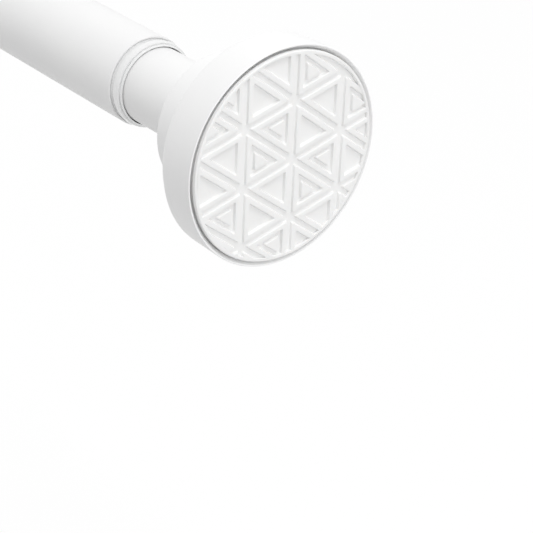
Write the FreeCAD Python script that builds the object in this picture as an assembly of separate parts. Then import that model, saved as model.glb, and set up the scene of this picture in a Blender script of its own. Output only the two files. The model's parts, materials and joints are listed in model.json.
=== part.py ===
import FreeCAD, Part
import math
import os

# A spring tension rod: a thin steel tube that telescopes out of a thicker one, with a
# soft-faced round cap on each end. Turning the thin tube spreads a split sleeve inside
# the thick tube, which locks the length. A coil spring then pushes the thin tube out.
# The rod runs along +X, +Z is up, and the origin is the centre of the left pad's face.
# All sizes are millimetres.

# Whole rod
ROD_LENGTH = 420.0              # pad face to pad face at the stored length
PUSH_TRAVEL = 25.0              # how far the thin tube can be pushed in on its spring
CAP_CLEAR_OF_COLLAR = 1.4       # gap left in front of the collar when it is pushed in

# Tubes
THICK_TUBE_RADIUS = 12.7
THIN_TUBE_RADIUS = 10.8
TUBE_WALL = 0.6

# Clearances
RUNNING_GAP = 0.3               # between pieces that move past each other
SLEEVE_GAP = 0.1                # split sleeve inside the thick tube
SEAT_GAP = 0.05                 # pushed-in pieces that stay put

# Pad with its triangle relief
PAD_RADIUS = 28.0
PAD_THICKNESS = 5.0             # ridge tops to back face
PAD_PROUD = 0.5                 # pad face ahead of the cap's front edge
PAD_EDGE_BEVEL = 0.4
PAD_RIM_WIDTH = 1.0
RELIEF_HEIGHT = 0.65            # ridge tops above the grooves
CELL_FLOOR_DROP = 0.15          # cell floors below the grooves
RIDGE_DRAFT = 0.2               # how much wider a ridge side is at its foot
CELL_BASE = 19.6                # one triangle cell: its base and height
CELL_HEIGHT = 12.7
LATTICE_TURN = -40.5            # degrees from the pad's horizontal to the cells' bases
LATTICE_START = (2.4, -1.2)     # one corner where six cells meet, seen from outside
GROOVE_WIDTH = 1.7
RIDGE_WIDTH = 1.25
ISLAND_INSET = 3.45             # small raised triangle inside every other row of cells
SMALLEST_CELL_AREA = 3.0        # cells cut smaller than this by the rim are left out

# Cap housing, measured back from the pad face
CAP_RIM_WIDTH = 1.5             # pad's side to the drum's outside
CAP_TAPER = 0.2                 # drum's loss of radius towards the crease
CAP_WALL = 1.8
CAP_EDGE_BEVEL = 0.2
RIM_LIP_WIDTH = 0.15            # flat on the rim, before it slopes down to the pad's side
RIM_SLOPE_DROP = 1.5
CREASE_AT = 11.2
CREASE_WIDTH = 0.6
BAND_RADIUS = 28.3              # second band, behind the crease
BAND_CROWN = 13.0
BAND_END = 15.2
BAND_END_RADIUS = 26.0
COVE_RADIUS = 6.7               # hollow sweep from the band down to the boss
COVE_STEPS = 3                  # flats that follow the cove inside the shell
BOSS_BEVEL = 0.8
CAP_DEPTH = 28.2                # pad face to the boss's rear face
CAP_RIB_COUNT = 6
CAP_RIB_WIDTH = 1.6
SOCKET_FLOOR_AT = 12.0
SOCKET_FLOOR_THICKNESS = 3.0
SCREW_POCKET_RADIUS = 8.0
SOCKET_CHAMFER = 0.4

# Cap screws and the plugs that they bite into
SCREW_RADIUS = 1.9
SCREW_LENGTH = 15.0
SCREW_TIP = 2.0
SCREW_HEAD_RADIUS = 3.8
SCREW_HEAD_HEIGHT = 2.4
SCREW_HEAD_BEVEL = 0.8
SCREW_HOLE_GAP = 0.3
CROSS_WIDTH = 0.9
CROSS_LENGTH = 4.2
CROSS_DEPTH = 1.3
PLUG_FLANGE = 1.5
PLUG_LENGTH = 16.5              # inside the tube
PLUG_WALL = 1.8
PLUG_FACE = 2.5
PLUG_BOSS_RADIUS = 4.5
PLUG_WEB_COUNT = 4
PLUG_WEB_WIDTH = 1.5

# Clear collar at the thick tube's mouth
COLLAR_REACH = 4.2              # in front of the tube's end
COLLAR_SPIGOT = 18.0            # inside the tube
COLLAR_BEAD_RADIUS = 12.25
COLLAR_BEAD_LENGTH = 3.4
COLLAR_BEAD_ROUND = 0.5
COLLAR_GROOVE_RADIUS = 11.5
COLLAR_GROOVE_LENGTH = 0.25
COLLAR_LIP_RADIUS = 11.65

# Lock: split sleeve spread by a cone
LOCK_FROM_PLUG = 8.0            # free space between the left plug and the spindle's end
SLEEVE_LENGTH = 28.0
SLEEVE_BASE = 6.0               # unsplit ring at its right end
SLEEVE_BASE_RADIUS = 11.5
SLEEVE_MOUTH_RADIUS = 7.2       # tapered bore, at the mouth
SLEEVE_THROAT_RADIUS = 5.2      # and where the taper ends
SLEEVE_TAPER_LENGTH = 18.0
SLOT_COUNT = 4
SLOT_WIDTH = 2.0
GRIP_RING_COUNT = 3
GRIP_RING_PITCH = 6.0
GRIP_RING_WIDTH = 1.2
GRIP_RING_DEPTH = 0.4
CONE_LENGTH = 21.0
CONE_OUTSIDE = 7.0              # part of the cone that stands out of the sleeve's mouth
CONE_TAPER_GAP = 0.12
CONE_KEY_WIDTH = 1.6
CONE_KEY_RADIUS = 10.5
CONE_KEY_LENGTH = 12.0
CONE_RELEASE = 3.0              # how far the cone backs off to free the sleeve

# Spindle and what is on it
SPINDLE_RADIUS = 3.0            # threaded ends and journal
SPINDLE_CHAMFER = 0.6
SPINDLE_HEX = 8.0               # across flats
SPINDLE_SHOULDER = 3.0
SPINDLE_SHOULDER_RADIUS = 5.5
SHAFT_GAP = 0.1                 # turning fit on the spindle
HEX_GAP = 0.3                   # across flats, in the bushing
STOP_RING_THICKNESS = 0.8
STOP_RING_RADIUS = 5.0
STOP_RING_GROOVE = 0.5
STOP_RING_FROM_END = 1.2
STOP_RING_MOUTH = 3.4
THRUST_WASHER_THICKNESS = 1.0
THRUST_WASHER_RADIUS = 8.0
SEAT_WASHER_THICKNESS = 1.2
SEAT_WASHER_RADIUS = 9.9
NUT_HEX = 10.0
NUT_HEIGHT = 5.0
SPINDLE_PAST_NUT = 1.5

# Spring
WIRE_RADIUS = 1.0
COIL_RADIUS = 8.6               # centre of the wire
COIL_TURNS = 16
COIL_CLOSED_TURNS = 1           # wound close at each end, and ground flat
COIL_LENGTH = 100.0             # fitted, between its seats
COIL_CLOSED_GAP = 0.1
COIL_STEPS = 14                 # straight steps in one turn
WIRE_SIDES = 6

# Pieces fixed inside the thin tube
BUSHING_FLANGE = 2.0
BUSHING_LENGTH = 20.0
BUSHING_GROOVE_WIDTH = 2.0
BUSHING_GROOVE_DEPTH = 0.6
STOP_PLUG_LENGTH = 12.0
STOP_PLUG_NOSE = 6.0
STOP_PLUG_NOSE_RADIUS = 7.1
STOP_PLUG_BORE = 3.0

# Radii that follow, and where the pieces lie along the rod
CAP_RADIUS = PAD_RADIUS + CAP_RIM_WIDTH
THICK_BORE = THICK_TUBE_RADIUS - TUBE_WALL
THIN_BORE = THIN_TUBE_RADIUS - TUBE_WALL
TUBE_END_DEPTH = SOCKET_FLOOR_AT + PLUG_FLANGE
THIN_TUBE_SHOWN = PUSH_TRAVEL + CAP_CLEAR_OF_COLLAR
COLLAR_FRONT_X = ROD_LENGTH - CAP_DEPTH - THIN_TUBE_SHOWN
THICK_TUBE_END_X = COLLAR_FRONT_X - COLLAR_REACH
SPINDLE_START_X = TUBE_END_DEPTH + PLUG_LENGTH + LOCK_FROM_PLUG
STOP_RING_X = SPINDLE_START_X + STOP_RING_FROM_END
CONE_START_X = STOP_RING_X + STOP_RING_THICKNESS + RUNNING_GAP + CONE_RELEASE
SLEEVE_START_X = CONE_START_X + CONE_OUTSIDE
SLEEVE_END_X = SLEEVE_START_X + SLEEVE_LENGTH
SHOULDER_X = SLEEVE_END_X + THRUST_WASHER_THICKNESS
HEX_START_X = SHOULDER_X + SPINDLE_SHOULDER
BUSHING_X = HEX_START_X + PUSH_TRAVEL + RUNNING_GAP
THIN_TUBE_START_X = BUSHING_X + BUSHING_FLANGE
BUSHING_END_X = THIN_TUBE_START_X + BUSHING_LENGTH
SEAT_WASHER_X = BUSHING_END_X + RUNNING_GAP
NUT_X = SEAT_WASHER_X + SEAT_WASHER_THICKNESS
SPINDLE_END_X = NUT_X + NUT_HEIGHT + SPINDLE_PAST_NUT
SPRING_X = NUT_X
STOP_PLUG_X = SPRING_X + COIL_LENGTH
THIN_TUBE_END_X = ROD_LENGTH - TUBE_END_DEPTH

AXIS = FreeCAD.Vector(1, 0, 0)
ORIGIN = FreeCAD.Vector(0, 0, 0)


def spot(x, r):
    """A point of an outline: x along the rod, r away from its axis."""
    return FreeCAD.Vector(x, 0, r)


def line(start, end):
    return Part.LineSegment(spot(*start), spot(*end)).toShape()


def arc(start, middle, end):
    return Part.Arc(spot(*start), spot(*middle), spot(*end)).toShape()


def path(points):
    """Straight edges from each point to the next."""
    return [line(a, b) for a, b in zip(points, points[1:])]


def spun(edges):
    """The solid that a closed outline makes when it turns about the rod's axis."""
    return Part.Face(Part.Wire(edges)).revolve(ORIGIN, AXIS, 360)


def turned(points):
    return spun(path(points + points[:1]))


def ring(inner, outer, start, end):
    return turned([(start, inner), (start, outer), (end, outer), (end, inner)])


def bar(radius, start, end):
    return Part.makeCylinder(radius, end - start, FreeCAD.Vector(start, 0, 0), AXIS)


def hex_bar(across_flats, start, end):
    corner = across_flats / math.sqrt(3)
    angles = [math.radians(60 * i) for i in range(7)]
    points = [FreeCAD.Vector(start, corner * math.cos(a), corner * math.sin(a)) for a in angles]
    return Part.Face(Part.makePolygon(points)).extrude(AXIS * (end - start))


def spoke(width, inner, outer, start, end, angle):
    """A flat web that stands out from the axis at an angle about it."""
    corner = FreeCAD.Vector(start, -width / 2, inner)
    box = Part.makeBox(end - start, width, outer - inner, corner)
    box.rotate(ORIGIN, AXIS, angle)
    return box


def spokes(count, width, inner, outer, start, end):
    return [spoke(width, inner, outer, start, end, 360 * i / count) for i in range(count)]


def at_right_end(shape):
    """Turn a piece of the left end round to the rod's right end."""
    piece = shape.copy()
    piece.rotate(ORIGIN, FreeCAD.Vector(0, 0, 1), 180)
    piece.translate(FreeCAD.Vector(ROD_LENGTH, 0, 0))
    return piece


# Pad: a soft disc whose face is a net of triangle cells


def lattice_corner(column, row):
    """Corner of the net, in the pad's face as seen from outside: (across, up)."""
    turn = math.radians(LATTICE_TURN)
    along = column * CELL_BASE + row * -CELL_BASE / 2
    across = row * CELL_HEIGHT
    u = LATTICE_START[0] + along * math.cos(turn) - across * math.sin(turn)
    v = LATTICE_START[1] + along * math.sin(turn) + across * math.cos(turn)
    return u, v


def shrink(triangle, inset):
    """Move the three sides of a triangle inwards by the same distance."""
    sides = [math.dist(triangle[(i + 1) % 3], triangle[(i + 2) % 3]) for i in range(3)]
    round_trip = sum(sides)
    centre = [sum(s * p[k] for s, p in zip(sides, triangle)) / round_trip for k in range(2)]
    doubled_area = CELL_BASE * CELL_HEIGHT
    keep = 1 - inset * round_trip / doubled_area
    return [tuple(centre[k] + keep * (p[k] - centre[k]) for k in range(2)) for p in triangle]


def face_loop(triangle, depth):
    points = [FreeCAD.Vector(depth, -u, v) for u, v in triangle]
    return Part.makePolygon(points + points[:1])


def block(top, top_depth, foot, foot_depth):
    """A raised triangle, or a pocket, with drafted sides."""
    loops = [face_loop(top, top_depth), face_loop(foot, foot_depth)]
    return Part.makeLoft(loops, True, True)


def cells():
    """Every cell that meets the pad, and whether it holds a small raised triangle."""
    reach = range(-4, 5)
    for column in reach:
        for row in reach:
            low = lattice_corner(column, row)
            across = lattice_corner(column + 1, row)
            high = lattice_corner(column + 1, row + 1)
            side = lattice_corner(column, row + 1)
            yield [low, across, high], row % 2 == 0
            yield [low, high, side], row % 2 == 1


def meets_disc(triangle, radius):
    disc = Part.Face(Part.Wire(Part.makeCircle(radius, ORIGIN, AXIS)))
    return disc.common(Part.Face(face_loop(triangle, 0))).Area > SMALLEST_CELL_AREA


def pad():
    field_radius = PAD_RADIUS - PAD_RIM_WIDTH
    floor_depth = RELIEF_HEIGHT + CELL_FLOOR_DROP
    ridges, pockets, islands = [], [], []
    for cell, has_island in cells():
        if not meets_disc(shrink(cell, GROOVE_WIDTH / 2), field_radius):
            continue
        outer_top = shrink(cell, GROOVE_WIDTH / 2)
        outer_foot = shrink(cell, GROOVE_WIDTH / 2 - RIDGE_DRAFT)
        inner_top = shrink(cell, GROOVE_WIDTH / 2 + RIDGE_WIDTH)
        inner_foot = shrink(cell, GROOVE_WIDTH / 2 + RIDGE_WIDTH + RIDGE_DRAFT)
        ridges.append(block(outer_top, 0, outer_foot, RELIEF_HEIGHT))
        pockets.append(block(inner_top, 0, inner_foot, floor_depth))
        if has_island:
            island_top = shrink(cell, ISLAND_INSET)
            island_foot = shrink(cell, ISLAND_INSET - RIDGE_DRAFT)
            islands.append(block(island_top, 0, island_foot, floor_depth))
    field = bar(field_radius, 0, floor_depth)
    base = turned(
        [
            (RELIEF_HEIGHT, 0),
            (RELIEF_HEIGHT, PAD_RADIUS - PAD_RIM_WIDTH / 2),
            (PAD_THICKNESS, PAD_RADIUS - PAD_RIM_WIDTH / 2),
            (PAD_THICKNESS, 0),
        ]
    )
    rim = turned(
        [
            (PAD_THICKNESS, PAD_RADIUS),
            (PAD_THICKNESS, field_radius),
            (0, field_radius),
            (0, PAD_RADIUS - PAD_EDGE_BEVEL),
            (PAD_EDGE_BEVEL, PAD_RADIUS),
        ]
    )
    net = Part.makeCompound(ridges).common(field)
    holes = Part.makeCompound(pockets).common(field)
    keep = Part.makeCompound(islands).common(field)
    return base.fuse([rim, net]).cut(holes).fuse(keep).removeSplitter()


# Cap housing: a moulded shell, open at the front, ribbed, with a socket for the tube


def cap_outline(socket_radius):
    """Front recess, drum, crease, band, cove and boss, then the socket and screw hole."""
    pad_bore = PAD_RADIUS + SEAT_GAP
    slope_foot = PAD_PROUD + RIM_SLOPE_DROP
    edge_radius = CAP_RADIUS - CAP_EDGE_BEVEL
    screw_hole = SCREW_RADIUS + SCREW_HOLE_GAP
    pocket_floor = SOCKET_FLOOR_AT - SOCKET_FLOOR_THICKNESS
    cove_end = BAND_END + COVE_RADIUS
    boss_radius = BAND_END_RADIUS - COVE_RADIUS
    slant = COVE_RADIUS * math.sqrt(0.5)
    cove_middle = (cove_end - slant, BAND_END_RADIUS - slant)
    front = [
        (PAD_THICKNESS, pad_bore),
        (slope_foot, pad_bore),
        (PAD_PROUD, edge_radius - RIM_LIP_WIDTH),
        (PAD_PROUD, edge_radius),
        (PAD_PROUD + CAP_EDGE_BEVEL, CAP_RADIUS),
        (CREASE_AT, CAP_RADIUS - CAP_TAPER),
        (CREASE_AT + CREASE_WIDTH / 2, BAND_RADIUS - CREASE_WIDTH / 2),
        (CREASE_AT + CREASE_WIDTH, BAND_RADIUS),
        (BAND_CROWN, BAND_RADIUS - CREASE_WIDTH / 2),
        (BAND_END, BAND_END_RADIUS),
    ]
    rear = [
        (cove_end, boss_radius),
        (CAP_DEPTH - BOSS_BEVEL, boss_radius),
        (CAP_DEPTH, boss_radius - BOSS_BEVEL),
        (CAP_DEPTH, socket_radius + SOCKET_CHAMFER),
        (CAP_DEPTH - SOCKET_CHAMFER, socket_radius),
        (SOCKET_FLOOR_AT, socket_radius),
        (SOCKET_FLOOR_AT, screw_hole),
        (pocket_floor, screw_hole),
        (pocket_floor, SCREW_POCKET_RADIUS),
        (PAD_THICKNESS, SCREW_POCKET_RADIUS),
        (PAD_THICKNESS, pad_bore),
    ]
    return path(front) + [arc(front[-1], cove_middle, rear[0])] + path(rear)


def cap_hollow(sleeve_radius):
    """The space between the outer wall and the socket's sleeve."""
    reach = COVE_RADIUS + CAP_WALL
    cove_end = BAND_END + COVE_RADIUS
    inside_rear = CAP_DEPTH - CAP_WALL
    sweep = []
    for i in range(COVE_STEPS + 1):
        a = math.radians(90 * i / COVE_STEPS)
        sweep.append((cove_end - reach * math.cos(a), BAND_END_RADIUS - reach * math.sin(a)))
    boss_inside = sweep[-1][1]
    corners = [
        (inside_rear, boss_inside),
        (inside_rear, sleeve_radius),
        (PAD_THICKNESS, sleeve_radius),
        (PAD_THICKNESS, BAND_END_RADIUS),
    ]
    return turned(sweep + corners)


def cap_housing(tube_radius):
    socket_radius = tube_radius + SEAT_GAP
    sleeve_radius = socket_radius + CAP_WALL
    body = spun(cap_outline(socket_radius))
    ribs = spokes(CAP_RIB_COUNT, CAP_RIB_WIDTH, 0, CAP_RADIUS, PAD_THICKNESS, CAP_DEPTH)
    return body.cut(cap_hollow(sleeve_radius).cut(ribs))


# Tube plugs and cap screws


def tube_plug(tube_radius):
    """Plug in a tube's end: flange over the rim, thin wall, screw boss and webs."""
    outside = tube_radius - TUBE_WALL - SEAT_GAP
    flange_radius = tube_radius - SEAT_GAP
    start = SOCKET_FLOOR_AT
    shoulder = TUBE_END_DEPTH
    end = TUBE_END_DEPTH + PLUG_LENGTH
    shell = turned(
        [
            (start, SCREW_RADIUS),
            (start, flange_radius),
            (shoulder, flange_radius),
            (shoulder, outside),
            (end, outside),
            (end, SCREW_RADIUS),
        ]
    )
    pocket = ring(PLUG_BOSS_RADIUS, outside - PLUG_WALL, start + PLUG_FACE, end)
    webs = spokes(PLUG_WEB_COUNT, PLUG_WEB_WIDTH, 0, tube_radius, start, end)
    return shell.cut(pocket.cut(webs))


def cap_screw():
    seat = SOCKET_FLOOR_AT - SOCKET_FLOOR_THICKNESS
    top = seat - SCREW_HEAD_HEIGHT
    tip = seat + SCREW_LENGTH
    screw = turned(
        [
            (top, 0),
            (top, SCREW_HEAD_RADIUS - SCREW_HEAD_BEVEL),
            (top + SCREW_HEAD_BEVEL, SCREW_HEAD_RADIUS),
            (seat, SCREW_HEAD_RADIUS),
            (seat, SCREW_RADIUS),
            (tip - SCREW_TIP, SCREW_RADIUS),
            (tip, 0),
        ]
    )
    cross = spokes(4, CROSS_WIDTH, 0, CROSS_LENGTH / 2, top, top + CROSS_DEPTH)
    return screw.cut(cross)


# Collar at the mouth of the thick tube


def tube_collar():
    """Bush inside the tube, with a rounded bead, a fine groove and a lip in front of it."""
    bore = THIN_TUBE_RADIUS + RUNNING_GAP
    spigot = THICK_BORE - SEAT_GAP
    seat = THICK_TUBE_END_X
    inner_end = seat - COLLAR_SPIGOT
    lead = (spigot - bore) / 2
    bead_end = seat + COLLAR_BEAD_LENGTH
    groove_end = bead_end + COLLAR_GROOVE_LENGTH
    return turned(
        [
            (COLLAR_FRONT_X, bore),
            (inner_end, bore),
            (inner_end, spigot - lead),
            (inner_end + lead, spigot),
            (seat, spigot),
            (seat, COLLAR_BEAD_RADIUS),
            (bead_end - COLLAR_BEAD_ROUND, COLLAR_BEAD_RADIUS),
            (bead_end, COLLAR_BEAD_RADIUS - COLLAR_BEAD_ROUND / 2),
            (bead_end, COLLAR_GROOVE_RADIUS),
            (groove_end, COLLAR_GROOVE_RADIUS),
            (groove_end, COLLAR_LIP_RADIUS),
            (COLLAR_FRONT_X, (COLLAR_LIP_RADIUS + bore) / 2),
        ]
    )


# Lock inside the thick tube


def taper_radius(x):
    """Radius of the sleeve's tapered bore at x."""
    slope = (SLEEVE_MOUTH_RADIUS - SLEEVE_THROAT_RADIUS) / SLEEVE_TAPER_LENGTH
    return SLEEVE_MOUTH_RADIUS - slope * (x - SLEEVE_START_X)


def lock_sleeve():
    """Ring that carries the spindle, and four petals that the cone spreads."""
    outside = THICK_BORE - SLEEVE_GAP
    base_x = SLEEVE_END_X - SLEEVE_BASE
    throat_x = SLEEVE_START_X + SLEEVE_TAPER_LENGTH
    journal = SPINDLE_RADIUS + SHAFT_GAP
    body = turned(
        [
            (SLEEVE_START_X, SLEEVE_MOUTH_RADIUS),
            (SLEEVE_START_X, outside),
            (base_x, outside),
            (base_x, SLEEVE_BASE_RADIUS),
            (SLEEVE_END_X, SLEEVE_BASE_RADIUS),
            (SLEEVE_END_X, journal),
            (base_x, journal),
            (base_x, SLEEVE_THROAT_RADIUS),
            (throat_x, SLEEVE_THROAT_RADIUS),
        ]
    )
    slots = spokes(SLOT_COUNT, SLOT_WIDTH, 0, THICK_BORE, SLEEVE_START_X, base_x)
    grips = []
    for i in range(GRIP_RING_COUNT):
        x = SLEEVE_START_X + GRIP_RING_PITCH * (i + 0.5)
        grips.append(ring(outside - GRIP_RING_DEPTH, THICK_BORE, x, x + GRIP_RING_WIDTH))
    return body.cut(slots + grips)


def lock_cone():
    """Cone that rides on the spindle's thread, kept from turning by keys in the slots."""
    end = CONE_START_X + CONE_LENGTH
    bore = SPINDLE_RADIUS + SHAFT_GAP
    body = turned(
        [
            (CONE_START_X, bore),
            (CONE_START_X, taper_radius(CONE_START_X) - CONE_TAPER_GAP),
            (end, taper_radius(end) - CONE_TAPER_GAP),
            (end, bore),
        ]
    )
    inside = (bore + SLEEVE_THROAT_RADIUS) / 2
    key_end = CONE_START_X + CONE_KEY_LENGTH
    keys = spokes(SLOT_COUNT, CONE_KEY_WIDTH, inside, CONE_KEY_RADIUS, CONE_START_X, key_end)
    return body.fuse(keys)


def spindle():
    """Threaded end, journal, shoulder, hexagon and the end for the stop nut."""
    groove_radius = SPINDLE_RADIUS - STOP_RING_GROOVE
    groove_end = STOP_RING_X + STOP_RING_THICKNESS
    core = turned(
        [
            (SPINDLE_START_X, 0),
            (SPINDLE_START_X, SPINDLE_RADIUS - SPINDLE_CHAMFER),
            (SPINDLE_START_X + SPINDLE_CHAMFER, SPINDLE_RADIUS),
            (STOP_RING_X, SPINDLE_RADIUS),
            (STOP_RING_X, groove_radius),
            (groove_end, groove_radius),
            (groove_end, SPINDLE_RADIUS),
            (SHOULDER_X, SPINDLE_RADIUS),
            (SHOULDER_X, SPINDLE_SHOULDER_RADIUS),
            (HEX_START_X, SPINDLE_SHOULDER_RADIUS),
            (HEX_START_X, SPINDLE_RADIUS),
            (SPINDLE_END_X - SPINDLE_CHAMFER, SPINDLE_RADIUS),
            (SPINDLE_END_X, SPINDLE_RADIUS - SPINDLE_CHAMFER),
            (SPINDLE_END_X, 0),
        ]
    )
    return core.fuse(hex_bar(SPINDLE_HEX, HEX_START_X, SEAT_WASHER_X))


def cone_stop_ring():
    """Open snap ring in the spindle's groove."""
    end = STOP_RING_X + STOP_RING_THICKNESS
    hoop = ring(SPINDLE_RADIUS - STOP_RING_GROOVE, STOP_RING_RADIUS, STOP_RING_X, end)
    return hoop.cut(spoke(STOP_RING_MOUTH, 0, STOP_RING_RADIUS, STOP_RING_X, end, 180))


def washer(radius, start, thickness):
    return ring(SPINDLE_RADIUS, radius, start, start + thickness)


def stop_nut():
    return hex_bar(NUT_HEX, NUT_X, NUT_X + NUT_HEIGHT).cut(bar(SPINDLE_RADIUS, NUT_X, NUT_X + NUT_HEIGHT))


def coil_rise(turn):
    """How far along the spring the wire's centre is after so many turns."""
    closed_pitch = 2 * WIRE_RADIUS + COIL_CLOSED_GAP
    length = COIL_LENGTH - RUNNING_GAP
    closed = COIL_CLOSED_TURNS * closed_pitch
    open_turns = COIL_TURNS - 2 * COIL_CLOSED_TURNS
    open_pitch = (length - 2 * closed) / open_turns
    opening = min(turn, COIL_CLOSED_TURNS) * closed_pitch
    middle = min(max(turn - COIL_CLOSED_TURNS, 0), open_turns) * open_pitch
    closing = max(turn - COIL_CLOSED_TURNS - open_turns, 0) * closed_pitch
    return opening + middle + closing


def wire_section(turn):
    """Outline of the wire, in the plane through the axis at this turn."""
    out = FreeCAD.Vector(0, math.cos(2 * math.pi * turn), math.sin(2 * math.pi * turn))
    centre = FreeCAD.Vector(SPRING_X + coil_rise(turn), 0, 0) + out * COIL_RADIUS
    points = []
    for i in range(WIRE_SIDES + 1):
        a = 2 * math.pi * i / WIRE_SIDES
        points.append(centre + out * (WIRE_RADIUS * math.cos(a)) + AXIS * (WIRE_RADIUS * math.sin(a)))
    return Part.makePolygon(points)


def push_spring():
    """Helical spring with closed ends, ground flat on both seats."""
    steps = COIL_TURNS * COIL_STEPS
    sections = [wire_section(i / COIL_STEPS) for i in range(steps + 1)]
    coil = Part.makeLoft(sections, True, True)
    return coil.common(bar(COIL_RADIUS + 2 * WIRE_RADIUS, SPRING_X, SPRING_X + COIL_LENGTH - RUNNING_GAP))


# Pieces fixed in the thin tube


def inner_end_bushing():
    """Bushing in the thin tube's inner end: a hexagon hole that turns the spindle."""
    outside = THIN_BORE - SEAT_GAP
    groove_x = BUSHING_END_X - BUSHING_LENGTH / 2
    body = turned(
        [
            (BUSHING_X, 0),
            (BUSHING_X, THICK_BORE - RUNNING_GAP),
            (THIN_TUBE_START_X, THICK_BORE - RUNNING_GAP),
            (THIN_TUBE_START_X, outside),
            (groove_x, outside),
            (groove_x, outside - BUSHING_GROOVE_DEPTH),
            (groove_x + BUSHING_GROOVE_WIDTH, outside - BUSHING_GROOVE_DEPTH),
            (groove_x + BUSHING_GROOVE_WIDTH, outside),
            (BUSHING_END_X, outside),
            (BUSHING_END_X, 0),
        ]
    )
    return body.cut(hex_bar(SPINDLE_HEX + HEX_GAP, BUSHING_X, BUSHING_END_X))


def spring_stop_plug():
    """Plug that the spring pushes on, with a nose that keeps the coil centred."""
    outside = THIN_BORE - SEAT_GAP
    groove_x = STOP_PLUG_X + STOP_PLUG_LENGTH / 2
    nose_x = STOP_PLUG_X - STOP_PLUG_NOSE
    end = STOP_PLUG_X + STOP_PLUG_LENGTH
    return turned(
        [
            (nose_x, STOP_PLUG_BORE),
            (nose_x, STOP_PLUG_NOSE_RADIUS - RUNNING_GAP),
            (nose_x + RUNNING_GAP, STOP_PLUG_NOSE_RADIUS),
            (STOP_PLUG_X, STOP_PLUG_NOSE_RADIUS),
            (STOP_PLUG_X, outside),
            (groove_x, outside),
            (groove_x, outside - BUSHING_GROOVE_DEPTH),
            (groove_x + BUSHING_GROOVE_WIDTH, outside - BUSHING_GROOVE_DEPTH),
            (groove_x + BUSHING_GROOVE_WIDTH, outside),
            (end, outside),
            (end, STOP_PLUG_BORE),
        ]
    )


def end_cap_pieces(side, tube_radius):
    """The four pieces of one end, built at the left end."""
    return {
        side + "_pad": pad(),
        side + "_cap_housing": cap_housing(tube_radius),
        side + "_cap_screw": cap_screw(),
        side + "_tube_plug": tube_plug(tube_radius),
    }


def all_pieces():
    pieces = {
        "thick_tube": ring(THICK_BORE, THICK_TUBE_RADIUS, TUBE_END_DEPTH, THICK_TUBE_END_X),
        "thin_tube": ring(THIN_BORE, THIN_TUBE_RADIUS, THIN_TUBE_START_X, THIN_TUBE_END_X),
        "tube_collar": tube_collar(),
        "lock_sleeve": lock_sleeve(),
        "lock_cone": lock_cone(),
        "spindle": spindle(),
        "cone_stop_ring": cone_stop_ring(),
        "thrust_washer": washer(THRUST_WASHER_RADIUS, SLEEVE_END_X, THRUST_WASHER_THICKNESS),
        "spring_seat_washer": washer(SEAT_WASHER_RADIUS, SEAT_WASHER_X, SEAT_WASHER_THICKNESS),
        "spindle_stop_nut": stop_nut(),
        "push_spring": push_spring(),
        "inner_end_bushing": inner_end_bushing(),
        "spring_stop_plug": spring_stop_plug(),
    }
    pieces.update(end_cap_pieces("left", THICK_TUBE_RADIUS))
    right = end_cap_pieces("right", THIN_TUBE_RADIUS)
    pieces.update({name: at_right_end(shape) for name, shape in right.items()})
    return pieces


def main():
    os.makedirs("parts", exist_ok=True)
    for name, shape in all_pieces().items():
        shape.exportStep("parts/" + name + ".step")
    draw_out = THICK_TUBE_END_X - COLLAR_SPIGOT - THIN_TUBE_START_X
    print("the thin tube can draw out by", round(draw_out, 1), "mm before its bushing meets the collar")


main()
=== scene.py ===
import bmesh
import bpy
import json
import math
from mathutils import Matrix, Vector

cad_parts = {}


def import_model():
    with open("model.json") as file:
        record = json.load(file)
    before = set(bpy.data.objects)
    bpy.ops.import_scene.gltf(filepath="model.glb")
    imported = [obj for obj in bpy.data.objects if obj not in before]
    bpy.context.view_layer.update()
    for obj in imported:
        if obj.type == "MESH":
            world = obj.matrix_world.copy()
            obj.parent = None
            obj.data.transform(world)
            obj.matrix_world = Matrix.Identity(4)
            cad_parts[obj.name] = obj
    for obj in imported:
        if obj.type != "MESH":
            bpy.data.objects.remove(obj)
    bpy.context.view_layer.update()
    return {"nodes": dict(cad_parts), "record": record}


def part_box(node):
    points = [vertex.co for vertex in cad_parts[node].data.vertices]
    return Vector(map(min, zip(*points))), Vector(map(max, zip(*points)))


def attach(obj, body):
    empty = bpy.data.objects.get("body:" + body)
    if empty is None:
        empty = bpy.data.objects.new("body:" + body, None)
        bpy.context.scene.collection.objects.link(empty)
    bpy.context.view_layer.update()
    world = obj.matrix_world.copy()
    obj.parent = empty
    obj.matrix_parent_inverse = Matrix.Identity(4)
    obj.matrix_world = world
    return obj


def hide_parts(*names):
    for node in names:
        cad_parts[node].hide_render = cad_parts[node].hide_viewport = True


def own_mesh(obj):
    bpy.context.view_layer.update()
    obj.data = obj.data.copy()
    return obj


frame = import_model()

# Sizes, in millimetres like the part's own. The rod lies along +X from the left pad's face.
# A corner of an outline is (x, radius, rounding).
MM = 0.001
ROUND_SEGMENTS = 192            # flats round a turned piece
SHARP_ANGLE = math.radians(38)  # edges sharper than this stay crisp
WELD = 1e-4                     # points nearer than this become one

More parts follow.
